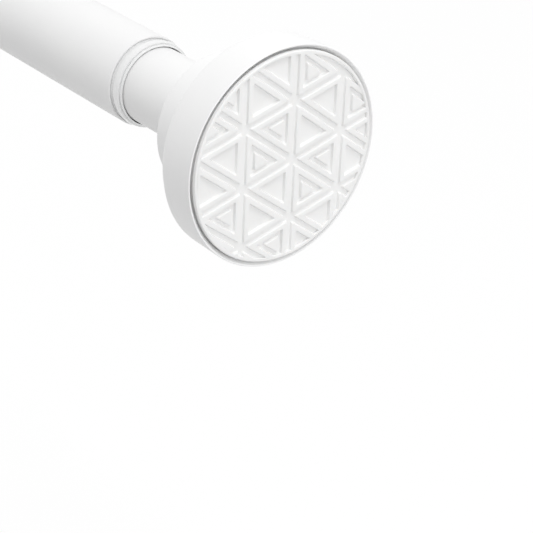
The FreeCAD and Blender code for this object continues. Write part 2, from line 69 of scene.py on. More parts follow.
# Pad and its net of triangles
PAD_THICKNESS = 5.0
PAD_FRONT_EDGE = (0, 28.0, 0.3)
PAD_LIP_END = (1.05, 28.0, 0.05)
PAD_WAIST_FRONT = (1.2, 27.3, 0.15)     # the side draws in behind the lip
PAD_WAIST_REAR = (2.1, 27.3, 0.15)
PAD_SEAT_START = (2.7, 28.0, 0.1)
PAD_BACK_EDGE = (5.0, 28.0, 0.25)
FIELD_RADIUS = 27.0
FIELD_EDGE_STEP = math.radians(1.5)
RIM_EDGE_ROUND = 0.2
RIM_EDGE_STEPS = 4
RELIEF_HEIGHT = 0.65
FLOOR_DEPTH = 0.8
CELL_BASE = 19.6
CELL_HEIGHT = 12.7
LATTICE_TURN = math.radians(-40.5)
LATTICE_START = (2.4, -1.2)
LATTICE_REACH = 5               # cells out from the start, each way
GROOVE_HALF = 0.85
RIDGE_WIDTH = 1.25
ISLAND_INSET = 3.45
DRAFT = 0.2
TOP_ROUND = 0.2
FOOT_ROUND = 0.15
CORNER_ROUND = 0.3
CORNER_STEPS = 4

# Cap housing, measured back from the pad's face
PAD_BORE = 28.05
RIM_SLOPE_FOOT = (2.0, 28.05, 0.08)
RIM_LIP = (0.5, 29.15, 0.2)
DRUM_FRONT = (0.5, 29.5, 0.2)
DRUM_REAR = (11.2, 29.3, 0.35)
CREASE = (11.55, 28.05, 0.12)
BAND_FRONT = (11.8, 28.3, 0.2)
BAND_CROWN = (13.3, 28.0, 1.6)
BAND_REAR = (15.2, 26.0)
COVE_RADIUS = 6.7
COVE_STEPS = 14
BOSS_ROUND = 0.9
SOCKET_MOUTH_ROUND = 0.35
HOLLOW_ROUND = 0.4
HOLLOW_STEPS = 10
CAP_DEPTH = 28.2
CAP_WALL = 1.8
SOCKET_FLOOR = 12.0
SOCKET_SEAT_GAP = 0.05
POCKET_FLOOR = 9.0
POCKET_RADIUS = 8.0
POCKET_FLOOR_ROUND = 0.3
POCKET_MOUTH_ROUND = 0.2
SCREW_HOLE_RADIUS = 2.2
RIB_COUNT = 6
RIB_WIDTH = 1.6
RIB_BITE = 0.2                  # how far a rib's edge goes into the shell

# Collar, measured forward from the thick tube's end
COLLAR_NECK = (0.5, 11.95, 0.4)
COLLAR_CROWN = (2.3, 12.3, 2.4)
COLLAR_BEAD_END = (3.4, 12.0, 0.25)
COLLAR_GROOVE = (3.65, 11.45)
COLLAR_LIP_RADIUS = 11.65
COLLAR_LIP_ROUND = 0.1
COLLAR_MOUTH_ROUND = 0.12
COLLAR_REAR_ROUNDS = (0.2, 0.3)         # bore, outside
RUNNING_GAP = 0.3

# Tubes
TUBE_WALL = 0.6
TUBE_LIP_ROUND = 0.25
TUBE_BORE_ROUND = 0.15
TUBE_ROUND_STEP = math.radians(22)

# Spindle and cap screws
THREAD_STEPS = 6                # points along one pitch
THREAD_SEGMENTS = 36
THREAD_DEPTH = 0.3              # share of the pitch
SPINDLE_RADIUS = 3.0
SPINDLE_CHAMFER = 0.6
SPINDLE_SHOULDER = 3.0
SPINDLE_SHOULDER_RADIUS = 5.5
SNAP_GROOVE_DEPTH = 0.5
HEX_CORNER = 8.0 / math.sqrt(3)
LOCK_PITCH = 2.0
NUT_PITCH = 1.0
SCREW_RADIUS = 1.9
SCREW_LENGTH = 15.0
SCREW_TIP = 2.0
SCREW_PITCH = 1.4
SCREW_HEAD_RADIUS = 3.8
SCREW_HEAD_HEIGHT = 2.4
SCREW_HEAD_BEVEL = 0.8
CROSS_WIDTH = 0.9
CROSS_LENGTH = 4.2
CROSS_DEPTH = 1.3

# Spring
WIRE_RADIUS = 1.0
COIL_RADIUS = 8.6
COIL_TURNS = 16
COIL_CLOSED_PITCH = 2.1
COIL_STEPS = 32
WIRE_SIDES = 14

# Camera, fitted to the photograph: its place from the right pad's face and its view
CAMERA_LENS = 122.56
CAMERA_FROM_PAD = Vector((0.3108, -0.2551, 0.2036))
CAMERA_LOOK = Vector((-0.6739, 0.5401, -0.5041))
CAMERA_CLIP = (0.01, 20)

# Studio, in metres and watts
WORLD_STRENGTH = 0.73
LAMP_DISTANCE = 1.2
LAMP_SIZE = 0.6
FLOOR_DROP = 0.25
FLOOR_REACH = 20
FLOOR_GLOW = 0.88               # the rest of the seen floor takes the shadow

ROD_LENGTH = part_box("right_pad")[1].x / MM


# Outlines and turned pieces


def rounded(corners, step=math.radians(15), closed=True):
    """Outline through corners (x, r, radius), each rounded by an arc of its radius."""
    points = []
    last = len(corners) - 1
    for i, (x, r, radius) in enumerate(corners):
        corner = Vector((x, r))
        if radius == 0 or (not closed and i in (0, last)):
            points.append(corner)
            continue
        before = Vector(corners[i - 1][:2]) - corner
        after = Vector(corners[(i + 1) % len(corners)][:2]) - corner
        before.normalize()
        after.normalize()
        opening = before.angle(after)
        reach = radius / math.tan(opening / 2)
        middle = (before + after).normalized()
        centre = corner + middle * (radius / math.sin(opening / 2))
        start = corner + before * reach - centre
        turn = math.pi - opening
        count = max(2, math.ceil(turn / step))
        side = 1 if before.x * after.y - before.y * after.x < 0 else -1
        for k in range(count + 1):
            spin = Matrix.Rotation(side * turn * k / count, 2)
            points.append(centre + spin @ start)
    return points


def arc(centre, radius, start, end, count):
    """Points of an arc of (x, r), from one angle to another, in degrees."""
    points = []
    for k in range(count + 1):
        a = math.radians(start + (end - start) * k / count)
        points.append(Vector((centre[0] + radius * math.cos(a), centre[1] + radius * math.sin(a))))
    return points


def finish_mesh(name, bm):
    """Object from a mesh in millimetres: welded, facing outwards, smooth between sharp edges."""
    bmesh.ops.remove_doubles(bm, verts=bm.verts, dist=WELD)
    bmesh.ops.dissolve_degenerate(bm, edges=bm.edges, dist=WELD)
    bmesh.ops.delete(bm, geom=[e for e in bm.edges if not e.link_faces], context="EDGES")
    bmesh.ops.recalc_face_normals(bm, faces=bm.faces)
    bmesh.ops.scale(bm, vec=(MM, MM, MM), verts=bm.verts)
    mesh = bpy.data.meshes.new(name)
    bm.to_mesh(mesh)
    bm.free()
    mesh.shade_smooth()
    mesh.set_sharp_from_angle(angle=SHARP_ANGLE)
    piece = bpy.data.objects.new(name, mesh)
    bpy.context.scene.collection.objects.link(piece)
    return piece


def join_rings(bm, rings):
    """Faces between rings of points about the rod's axis, the last ring joined to the first."""
    count = len(rings[0])
    for k, ring in enumerate(rings):
        beside = rings[(k + 1) % len(rings)]
        for i in range(count):
            j = (i + 1) % count
            bm.faces.new((ring[i], ring[j], beside[j], beside[i]))


def add_turned(bm, outline, segments=ROUND_SEGMENTS):
    """Turn a closed outline of (x, r) about the rod's axis into a ring of faces."""
    rings = []
    for k in range(segments):
        a = 2 * math.pi * k / segments
        rings.append([bm.verts.new((p.x, p.y * math.sin(a), p.y * math.cos(a))) for p in outline])
    join_rings(bm, rings)


def turned(name, outline, segments=ROUND_SEGMENTS):
    bm = bmesh.new()
    add_turned(bm, outline, segments)
    return finish_mesh(name, bm)


def to_right_end(bm):
    """Turn a piece that was built for the left end round to the right end."""
    turn = Matrix.Translation((ROD_LENGTH, 0, 0)) @ Matrix.Rotation(math.pi, 4, "Z")
    bmesh.ops.transform(bm, matrix=turn, verts=bm.verts)


# Pad with its triangle relief


def lattice_corner(column, row):
    """Corner of the net, in the pad's face as seen from outside: (across, up)."""
    along = column * CELL_BASE - row * CELL_BASE / 2
    across = row * CELL_HEIGHT
    u = LATTICE_START[0] + along * math.cos(LATTICE_TURN) - across * math.sin(LATTICE_TURN)
    v = LATTICE_START[1] + along * math.sin(LATTICE_TURN) + across * math.cos(LATTICE_TURN)
    return Vector((u, v))


def cells():
    """Every cell that can meet the pad, and whether it holds a small raised triangle."""
    for column in range(-LATTICE_REACH, LATTICE_REACH + 1):
        for row in range(-LATTICE_REACH, LATTICE_REACH + 1):
            low = lattice_corner(column, row)
            across = lattice_corner(column + 1, row)
            high = lattice_corner(column + 1, row + 1)
            side = lattice_corner(column, row + 1)
            yield (low, across, high), row % 2 == 0
            yield (low, high, side), row % 2 == 1


def relief_profile(has_island):
    """Depth below the ridge tops against the distance in from a cell's side."""
    ridge_in = GROOVE_HALF + RIDGE_WIDTH
    corners = [
        (0, RELIEF_HEIGHT, 0),
        (GROOVE_HALF - DRAFT, RELIEF_HEIGHT, FOOT_ROUND),
        (GROOVE_HALF, 0, TOP_ROUND),
        (ridge_in, 0, TOP_ROUND),
        (ridge_in + DRAFT, FLOOR_DEPTH, FOOT_ROUND),
    ]
    if has_island:
        corners.append((ISLAND_INSET - DRAFT, FLOOR_DEPTH, FOOT_ROUND))
        corners.append((ISLAND_INSET, 0, TOP_ROUND))
        corners.append((ISLAND_INSET + 2 * TOP_ROUND, 0, 0))
    else:
        corners.append((ridge_in + DRAFT + 2 * FOOT_ROUND, FLOOR_DEPTH, 0))
    return rounded(corners, closed=False)


def inset_loop(triangle, inset):
    """The triangle moved in by the inset, with its corners rounded, as (across, up) points."""
    sides = [(triangle[(i + 1) % 3] - triangle[(i + 2) % 3]).length for i in range(3)]
    rim = sum(sides)
    centre = sum((s * p for s, p in zip(sides, triangle)), Vector((0, 0))) / rim
    keep = 1 - inset * rim / (CELL_BASE * CELL_HEIGHT)
    corners = [centre + keep * (p - centre) for p in triangle]
    radius = min(CORNER_ROUND, inset * CORNER_ROUND / (GROOVE_HALF - DRAFT))
    loop = []
    for i, corner in enumerate(corners):
        before = (corners[i - 1] - corner).normalized()
        after = (corners[(i + 1) % 3] - corner).normalized()
        opening = before.angle(after)
        middle = corner + (before + after).normalized() * (radius / math.sin(opening / 2))
        start = corner + before * (radius / math.tan(opening / 2)) - middle
        turn = math.pi - opening
        for k in range(CORNER_STEPS + 1):
            loop.append(middle + Matrix.Rotation(turn * k / CORNER_STEPS, 2) @ start)
    return loop


def plane_depth(points, u, v):
    """Depth at (u, v) in the plane of the polygon's widest corner."""
    normal = Vector((0, 0, 0))
    for a, b in zip(points, points[1:] + points[:1]):
        normal += a.cross(b)
    if abs(normal.z) < 1e-9:
        return points[0].z
    middle = sum(points, Vector((0, 0, 0))) / len(points)
    return middle.z - (normal.x * (u - middle.x) + normal.y * (v - middle.y)) / normal.z


def clip_to_field(points):
    """The part of a polygon of (u, v, depth) that lies inside the round field."""
    limit = FIELD_RADIUS
    inside = [p.xy.length <= limit for p in points]
    if all(inside):
        return points
    kept = []
    leave = None
    for i, p in enumerate(points):
        q = points[(i + 1) % len(points)]
        if inside[i]:
            kept.append(p)
        if inside[i] != inside[(i + 1) % len(points)]:
            run = q.xy - p.xy
            b = p.xy.dot(run)
            root = math.sqrt(max(b * b - run.length_squared * (p.xy.length_squared - limit**2), 0))
            t = (-b + root) / run.length_squared if inside[i] else (-b - root) / run.length_squared
            kept.append(p.lerp(q, t))
            if inside[i]:
                leave = len(kept)
    if leave is None or len(kept) < 3:
        return []
    return with_rim_points(points, kept, leave)


def with_rim_points(points, kept, leave):
    """Follow the field's edge between where a clipped polygon leaves it and comes back."""
    a, b = kept[leave - 1], kept[leave % len(kept)]
    start = math.atan2(a.y, a.x)
    sweep = (math.atan2(b.y, b.x) - start + math.pi) % (2 * math.pi) - math.pi
    count = int(abs(sweep) / FIELD_EDGE_STEP)
    rim = []
    for k in range(1, count + 1):
        angle = start + sweep * k / (count + 1)
        u, v = FIELD_RADIUS * math.cos(angle), FIELD_RADIUS * math.sin(angle)
        rim.append(Vector((u, v, plane_depth(points, u, v))))
    return kept[:leave] + rim + kept[leave:]


def add_field(bm):
    """The relief inside the rim: nested loops in every cell, cut off by the round field."""
    profiles = {flag: relief_profile(flag) for flag in (True, False)}
    for triangle, has_island in cells():
        if min(p.length for p in triangle) > FIELD_RADIUS + CELL_BASE:
            continue
        loops = []
        for point in profiles[has_island]:
            loops.append([Vector((p.x, p.y, point.y)) for p in inset_loop(triangle, point.x)])
        faces = [loops[-1]]
        for outer, inner in zip(loops, loops[1:]):
            for i in range(len(outer)):
                j = (i + 1) % len(outer)
                faces.append([outer[i], outer[j], inner[j], inner[i]])
        for face in faces:
            kept = clip_to_field(face)
            if len(kept) > 2:
                bm.faces.new([bm.verts.new((p.z, -p.x, p.y)) for p in kept])


def add_rim_wall(bm):
    """Rounded wall from the field's edge to the face. Returns its outer radius and edges."""
    edge = [e for e in bm.edges if e.is_boundary]
    chain = sorted({v for e in edge for v in e.verts}, key=lambda v: math.atan2(v.co.y, v.co.z))
    loops = [chain]
    for k in range(RIM_EDGE_STEPS + 1):
        turn = math.pi / 2 * k / RIM_EDGE_STEPS
        loop = []
        for v in chain:
            size = min(RIM_EDGE_ROUND, max(v.co.x, 0))
            radius = FIELD_RADIUS + size * (1 - math.cos(turn))
            angle = math.atan2(v.co.y, v.co.z)
            depth = size * (1 - math.sin(turn))
            loop.append(bm.verts.new((depth, radius * math.sin(angle), radius * math.cos(angle))))
        loops.append(loop)
    ring = FIELD_RADIUS + 1.5 * RIM_EDGE_ROUND
    angles = [math.atan2(v.co.y, v.co.z) for v in chain]
    loops.append([bm.verts.new((0, ring * math.sin(a), ring * math.cos(a))) for a in angles])
    for outer, inner in zip(loops, loops[1:]):
        for i in range(len(chain)):
            j = (i + 1) % len(chain)
            if (outer[i].co - inner[i].co).length + (outer[j].co - inner[j].co).length > 1e-5:
                bm.faces.new((outer[i], outer[j], inner[j], inner[i]))
    last = set(loops[-1])
    return ring, [e for e in bm.edges if e.is_boundary and last.issuperset(e.verts)]


def add_side_and_back(bm, face_radius):
    """Flat edge of the face, lip, waist, seat and back. Returns the edges that it starts from."""
    outline = rounded(
        [
            (0, face_radius, 0),
            PAD_FRONT_EDGE,
            PAD_LIP_END,
            PAD_WAIST_FRONT,
            PAD_WAIST_REAR,
            PAD_SEAT_START,
            PAD_BACK_EDGE,
            (PAD_THICKNESS, PAD_BACK_EDGE[1] / 2, 0),
        ],
        closed=False,
    )
    rings = []
    for p in outline:
        around = [2 * math.pi * k / ROUND_SEGMENTS for k in range(ROUND_SEGMENTS)]
        rings.append([bm.verts.new((p.x, p.y * math.sin(a), p.y * math.cos(a))) for a in around])
    for outer, inner in zip(rings, rings[1:]):
        for i in range(ROUND_SEGMENTS):
            j = (i + 1) % ROUND_SEGMENTS
            bm.faces.new((outer[i], outer[j], inner[j], inner[i]))
    bm.faces.new(rings[-1])
    return [bm.edges.get((rings[0][i], rings[0][i - 1])) for i in range(ROUND_SEGMENTS)]


def pad(side):
    """Pad with its relief, the wall round that, and its side and back."""
    bm = bmesh.new()
    add_field(bm)
    bmesh.ops.remove_doubles(bm, verts=bm.verts, dist=2 * WELD)
    ring, ring_edges = add_rim_wall(bm)
    side_edges = add_side_and_back(bm, ring + RIM_EDGE_ROUND / 2)
    bmesh.ops.bridge_loops(bm, edges=ring_edges + side_edges)
    if side == "right":
        to_right_end(bm)
    return finish_mesh(side + "_pad_relief", bm)


# Cap housing


def cap_outline(socket_radius):
    """Section of the moulded shell: lip, drum, crease, band, cove, boss, socket and hollow."""
    sleeve_radius = socket_radius + CAP_WALL
    cove = (BAND_REAR[0] + COVE_RADIUS, BAND_REAR[1])
    boss_radius = BAND_REAR[1] - COVE_RADIUS
    front = rounded(
        [
            (PAD_THICKNESS, PAD_BORE, 0),
            RIM_SLOPE_FOOT,
            RIM_LIP,
            DRUM_FRONT,
            DRUM_REAR,
            CREASE,
            BAND_FRONT,
            BAND_CROWN,
            (*BAND_REAR, 0),
        ],
        closed=False,
    )
    sweep = arc(cove, COVE_RADIUS, 180, 270, COVE_STEPS)
    rear = rounded(
        [
            (cove[0], boss_radius, 0),
            (CAP_DEPTH, boss_radius, BOSS_ROUND),
            (CAP_DEPTH, socket_radius, SOCKET_MOUTH_ROUND),
            (SOCKET_FLOOR, socket_radius, 0),
            (SOCKET_FLOOR, SCREW_HOLE_RADIUS, 0),
            (POCKET_FLOOR, SCREW_HOLE_RADIUS, 0),
            (POCKET_FLOOR, POCKET_RADIUS, POCKET_FLOOR_ROUND),
            (PAD_THICKNESS, POCKET_RADIUS, POCKET_MOUTH_ROUND),
            (PAD_THICKNESS, sleeve_radius, POCKET_MOUTH_ROUND),
            (CAP_DEPTH - CAP_WALL, sleeve_radius, HOLLOW_ROUND),
            (CAP_DEPTH - CAP_WALL, boss_radius - CAP_WALL, HOLLOW_ROUND),
            (cove[0], boss_radius - CAP_WALL, 0),
        ],
        closed=False,
    )
    inside = arc(cove, COVE_RADIUS + CAP_WALL, 270, 180, HOLLOW_STEPS)
    return front + sweep[1:] + rear[1:] + inside[1:] + [Vector((PAD_THICKNESS, BAND_REAR[1]))]


def add_ribs(bm, socket_radius):
    """Six flat webs across the shell's hollow."""
    sleeve_radius = socket_radius + CAP_WALL
    cove = (BAND_REAR[0] + COVE_RADIUS, BAND_REAR[1])
    boss_radius = BAND_REAR[1] - COVE_RADIUS
    front = PAD_THICKNESS + RIB_BITE / 4
    rear = CAP_DEPTH - CAP_WALL + RIB_BITE
    section = [
        Vector((front, sleeve_radius - RIB_BITE)),
        Vector((rear, sleeve_radius - RIB_BITE)),
        Vector((rear, boss_radius - CAP_WALL + RIB_BITE)),
        *arc(cove, COVE_RADIUS + CAP_WALL - RIB_BITE, 270, 180, HOLLOW_STEPS),
        Vector((front, BAND_REAR[1] + RIB_BITE)),
    ]
    for i in range(RIB_COUNT):
        spin = Matrix.Rotation(2 * math.pi * i / RIB_COUNT, 3, "X")
        walls = []
        for y in (-RIB_WIDTH / 2, RIB_WIDTH / 2):
            walls.append([bm.verts.new(spin @ Vector((p.x, y, p.y))) for p in section])
        bm.faces.new(walls[0])
        bm.faces.new(walls[1][::-1])
        for a in range(len(section)):
            b = (a + 1) % len(section)
            bm.faces.new((walls[0][a], walls[0][b], walls[1][b], walls[1][a]))


def cap_housing(side, tube_radius):
    socket_radius = tube_radius + SOCKET_SEAT_GAP
    bm = bmesh.new()
    add_turned(bm, cap_outline(socket_radius))
    add_ribs(bm, socket_radius)
    if side == "right":
        to_right_end(bm)
    return finish_mesh(side + "_cap_shell", bm)


# Tubes and collar


def tube(name, node):
    """Rolled tube with slightly rounded lips, as long and thick as its solid."""
    low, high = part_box(node)
    radius = high.z / MM
    start, end = low.x / MM, high.x / MM
    corners = [
        (start, radius - TUBE_WALL, TUBE_BORE_ROUND),
        (start, radius, TUBE_LIP_ROUND),
        (end, radius, TUBE_LIP_ROUND),
        (end, radius - TUBE_WALL, TUBE_BORE_ROUND),
    ]
    return turned(name, rounded(corners, step=TUBE_ROUND_STEP))


def collar():
    """Clear bush: rounded bead, fine groove and bevelled lip in front of the tube's end."""
    low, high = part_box("tube_collar")
    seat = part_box("thick_tube")[1].x / MM
    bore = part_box("thin_tube")[1].z / MM + RUNNING_GAP
    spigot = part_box("thick_tube")[1].z / MM - TUBE_WALL - SOCKET_SEAT_GAP
    start, front = low.x / MM, high.x / MM
    bead_end = seat + COLLAR_BEAD_END[0]
    groove_end = seat + COLLAR_GROOVE[0]
    corners = [
        (front, bore, COLLAR_MOUTH_ROUND),
        (start, bore, COLLAR_REAR_ROUNDS[0]),
        (start, spigot, COLLAR_REAR_ROUNDS[1]),
        (seat, spigot, 0),
        (seat, COLLAR_NECK[1], 0),
        (seat + COLLAR_NECK[0], *COLLAR_NECK[1:]),
        (seat + COLLAR_CROWN[0], *COLLAR_CROWN[1:]),
        (bead_end, *COLLAR_BEAD_END[1:]),
        (bead_end, COLLAR_GROOVE[1], 0),
        (groove_end, COLLAR_GROOVE[1], 0),
        (groove_end, COLLAR_LIP_RADIUS, COLLAR_LIP_ROUND),
        (front, (COLLAR_LIP_RADIUS + bore) / 2, COLLAR_MOUTH_ROUND),
    ]
    return turned("clear_collar", rounded(corners))


# Spindle and cap screws with their threads


def thread(start, end, radius, pitch, turn):
    """Crests and roots along a stretch of thread, at this turn about the axis."""
    steps = round((end - start) / pitch * THREAD_STEPS)
    points = []
    for k in range(steps + 1):
        x = start + (end - start) * k / steps
        phase = (x / pitch - turn) % 1
        fade = min((x - start) / pitch, (end - x) / pitch, 1)
        depth = THREAD_DEPTH * pitch * abs(2 * phase - 1) * fade
        points.append((x, radius - depth))
    return points


def add_threaded(bm, outline_at):
    """Turn an outline that changes with the turn about the rod's axis, as a thread's does."""
    rings = []
    for k in range(THREAD_SEGMENTS):
        a = 2 * math.pi * k / THREAD_SEGMENTS
        outline = outline_at(k / THREAD_SEGMENTS)
        rings.append([bm.verts.new((x, r * math.sin(a), r * math.cos(a))) for x, r in outline])
    join_rings(bm, rings)


def spindle():
    """Threaded end with the snap ring's groove, journal, shoulder, hexagon and nut end."""
    low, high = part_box("spindle")
    start, end = low.x / MM, high.x / MM
    ring_low, ring_high = (corner.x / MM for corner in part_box("cone_stop_ring"))
    cone_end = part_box("lock_cone")[1].x / MM
    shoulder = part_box("thrust_washer")[1].x / MM
    hex_start = shoulder + SPINDLE_SHOULDER
    hex_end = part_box("spring_seat_washer")[0].x / MM

    def outline_at(turn):
        return [
            (start, 0),
            (start, SPINDLE_RADIUS - SPINDLE_CHAMFER),
            (start + SPINDLE_CHAMFER, SPINDLE_RADIUS),
            (ring_low, SPINDLE_RADIUS),
            (ring_low, SPINDLE_RADIUS - SNAP_GROOVE_DEPTH),
            (ring_high, SPINDLE_RADIUS - SNAP_GROOVE_DEPTH),
            *thread(ring_high, cone_end, SPINDLE_RADIUS, LOCK_PITCH, turn),
            (shoulder, SPINDLE_RADIUS),
            (shoulder, SPINDLE_SHOULDER_RADIUS),
            (hex_start, SPINDLE_SHOULDER_RADIUS),
            (hex_start, SPINDLE_RADIUS),
            *thread(hex_end, end - SPINDLE_CHAMFER, SPINDLE_RADIUS, NUT_PITCH, turn),
            (end, SPINDLE_RADIUS - SPINDLE_CHAMFER),
            (end, 0),
        ]

    bm = bmesh.new()
    add_threaded(bm, outline_at)
    spins = [Matrix.Rotation(math.radians(60 * i), 3, "X") for i in range(6)]
    walls = []
    for x in (hex_start, hex_end):
        walls.append([bm.verts.new(spin @ Vector((x, HEX_CORNER, 0))) for spin in spins])
        bm.faces.new(walls[-1])
    for i in range(6):
        j = (i + 1) % 6
        bm.faces.new((walls[0][i], walls[0][j], walls[1][j], walls[1][i]))
    return finish_mesh("threaded_spindle", bm)


def cap_screw(side):
    """Pan-headed screw with a cross recess and a coarse thread for plastic."""
    top = POCKET_FLOOR - SCREW_HEAD_HEIGHT
    tip = POCKET_FLOOR + SCREW_LENGTH

    def outline_at(turn):
        return [
            (top, 0),
            (top, SCREW_HEAD_RADIUS - SCREW_HEAD_BEVEL),
            (top + SCREW_HEAD_BEVEL, SCREW_HEAD_RADIUS),
            (POCKET_FLOOR, SCREW_HEAD_RADIUS),
            *thread(POCKET_FLOOR, tip - SCREW_TIP, SCREW_RADIUS, SCREW_PITCH, turn),
            (tip, 0),
        ]

    bm = bmesh.new()
    add_threaded(bm, outline_at)
    screw = finish_mesh("screw_blank", bm)
    bm = bmesh.new()
    for length, width in ((CROSS_LENGTH, CROSS_WIDTH), (CROSS_WIDTH, CROSS_LENGTH)):
        arm = Matrix.Translation((top, 0, 0)) @ Matrix.Diagonal((2 * CROSS_DEPTH, length, width, 1))
        bmesh.ops.create_cube(bm, matrix=arm)
    cross = finish_mesh("cross", bm)
    cut = screw.modifiers.new("cross", "BOOLEAN")
    cut.object = cross
    cut.operation = "DIFFERENCE"
    cut.use_self = True
    finished = screw.evaluated_get(bpy.context.evaluated_depsgraph_get())
    mesh = bpy.data.meshes.new_from_object(finished)
    bpy.data.objects.remove(screw)
    bpy.data.objects.remove(cross)
    if side == "right":
        turn = Matrix.Translation((ROD_LENGTH * MM, 0, 0)) @ Matrix.Rotation(math.pi, 4, "Z")
        mesh.transform(turn)
    mesh.set_sharp_from_angle(angle=SHARP_ANGLE)
    piece = bpy.data.objects.new(side + "_threaded_screw", mesh)
    bpy.context.scene.collection.objects.link(piece)
    return piece


# Spring


def coil_rise(turn, length):
    """How far along the spring the wire's centre is after so many turns."""
    open_turns = COIL_TURNS - 2
    open_pitch = (length - 2 * COIL_CLOSED_PITCH) / open_turns
    opening = min(turn, 1) * COIL_CLOSED_PITCH
    middle = min(max(turn - 1, 0), open_turns) * open_pitch
    closing = max(turn - 1 - open_turns, 0) * COIL_CLOSED_PITCH
    return opening + middle + closing


def spring():
    """Round wire wound into a helix with a closed turn at each end."""
    low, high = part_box("push_spring")
    start = low.x / MM + WIRE_RADIUS
    length = (high.x - low.x) / MM - 2 * WIRE_RADIUS
    bm = bmesh.new()
    rings = []
    for i in range(COIL_TURNS * COIL_STEPS + 1):
        turn = i / COIL_STEPS
        angle = 2 * math.pi * turn
        out = Vector((0, math.cos(angle), math.sin(angle)))
        centre = Vector((start + coil_rise(turn, length), 0, 0)) + out * COIL_RADIUS
        ring = []
        for k in range(WIRE_SIDES):
            a = 2 * math.pi * k / WIRE_SIDES
            offset = out * math.cos(a) + Vector((math.sin(a), 0, 0))
            ring.append(bm.verts.new(centre + offset * WIRE_RADIUS))
        rings.append(ring)
    for ring, beside in zip(rings, rings[1:]):
        for k in range(WIRE_SIDES):
            j = (k + 1) % WIRE_SIDES
            bm.faces.new((ring[k], ring[j], beside[j], beside[k]))
    bm.faces.new(rings[0])
    bm.faces.new(rings[-1])
    return finish_mesh("wire_spring", bm)


# Materials


def new_material(name, colour, roughness, metallic=0.0, specular=0.5):
    material = bpy.data.materials.new(name)
    material.use_nodes = True
    shader = material.node_tree.nodes["Principled BSDF"]
    shader.inputs["Base Color"].default_value = (*colour, 1)
    shader.inputs["Roughness"].default_value = roughness
    shader.inputs["Metallic"].default_value = metallic
    shader.inputs["Specular IOR Level"].default_value = specular
    return material


def noise(material, scale, detail=3.0):
    """Noise in the piece's own coordinates, with scale in features for each metre."""
    nodes, links = material.node_tree.nodes, material.node_tree.links
    place = nodes.get("Place") or nodes.new("ShaderNodeTexCoord")
    place.name = "Place"
    texture = nodes.new("ShaderNodeTexNoise")
    texture.inputs["Scale"].default_value = scale
    texture.inputs["Detail"].default_value = detail
    links.new(place.outputs["Object"], texture.inputs["Vector"])
    return texture.outputs["Fac"]


def tint(material, source, dark, light):
    """Base colour that varies between two near tones."""
    nodes, links = material.node_tree.nodes, material.node_tree.links
    ramp = nodes.new("ShaderNodeValToRGB")
    ramp.color_ramp.elements[0].position = 0.3
    ramp.color_ramp.elements[1].position = 0.7
    ramp.color_ramp.elements[0].color = (*dark, 1)
    ramp.color_ramp.elements[1].color = (*light, 1)
    links.new(source, ramp.inputs["Fac"])
    links.new(ramp.outputs["Color"], nodes["Principled BSDF"].inputs["Base Color"])


def vary_roughness(material, source, low, high):
    """Roughness that varies between two values."""
    nodes, links = material.node_tree.nodes, material.node_tree.links
    spread = nodes.new("ShaderNodeMapRange")
    spread.inputs["To Min"].default_value = low
    spread.inputs["To Max"].default_value = high
    links.new(source, spread.inputs["Value"])
    links.new(spread.outputs["Result"], nodes["Principled BSDF"].inputs["Roughness"])


def bump(material, source, strength, distance):
    """Fine relief, with its height in metres."""
    nodes, links = material.node_tree.nodes, material.node_tree.links
    raised = nodes.new("ShaderNodeBump")
    raised.inputs["Strength"].default_value = strength
    raised.inputs["Distance"].default_value = distance
    links.new(source, raised.inputs["Height"])
    links.new(raised.outputs["Normal"], nodes["Principled BSDF"].inputs["Normal"])


def enamel(name):
    """White enamel baked on a steel tube: a faint orange peel under a soft shine."""
    material = new_material(name, (0.88, 0.88, 0.88), 0.45, specular=0.3)
    tint(material, noise(material, 60), (0.87, 0.87, 0.872), (0.89, 0.89, 0.888))
    vary_roughness(material, noise(material, 220), 0.42, 0.5)
    bump(material, noise(material, 700, detail=2), strength=0.08, distance=0.00012)
    return material


def moulded(name, colour, low, high):
    """Moulded plastic: a fine, even grain from the mould."""
    material = new_material(name, colour, high, specular=0.35)
    dark = tuple(c * 0.985 for c in colour)
    tint(material, noise(material, 90), dark, colour)
    vary_roughness(material, noise(material, 400), low, high)
    bump(material, noise(material, 3500, detail=2), strength=0.1, distance=0.00006)
    return material


def elastomer(name):
    """Soft white pad: matte and slightly translucent."""
    material = new_material(name, (0.87, 0.87, 0.865), 0.55)
    tint(material, noise(material, 120), (0.86, 0.86, 0.855), (0.88, 0.88, 0.877))
    vary_roughness(material, noise(material, 500), 0.5, 0.6)
    bump(material, noise(material, 1800, detail=2), strength=0.06, distance=0.00008)
    shader = material.node_tree.nodes["Principled BSDF"]
    shader.inputs["Subsurface Weight"].default_value = 0.12
    shader.inputs["Subsurface Radius"].default_value = (0.0012, 0.0011, 0.001)
    return material


def by_view(material, facing, grazing, bend):
    """A value from how squarely the surface faces the eye."""
    nodes, links = material.node_tree.nodes, material.node_tree.links
    rim = nodes.new("ShaderNodeLayerWeight")
    rim.inputs["Blend"].default_value = bend
    spread = nodes.new("ShaderNodeMapRange")
    spread.inputs["To Min"].default_value = facing
    spread.inputs["To Max"].default_value = grazing
    links.new(rim.outputs["Facing"], spread.inputs["Value"])
    return spread.outputs["Result"]


def clear_plastic(name):
    """Clear plastic: a pale shine over a little of what is behind it."""
    material = new_material(name, (0.95, 0.955, 0.955), 0.08, specular=1.0)
    vary_roughness(material, noise(material, 300), 0.05, 0.12)
    shader = material.node_tree.nodes["Principled BSDF"]
    shader.inputs["IOR"].default_value = 1.8
    shader.inputs["Coat Weight"].default_value = 1
    solidity = by_view(material, facing=0.85, grazing=0.97, bend=0.4)
    material.node_tree.links.new(solidity, shader.inputs["Alpha"])
    return material


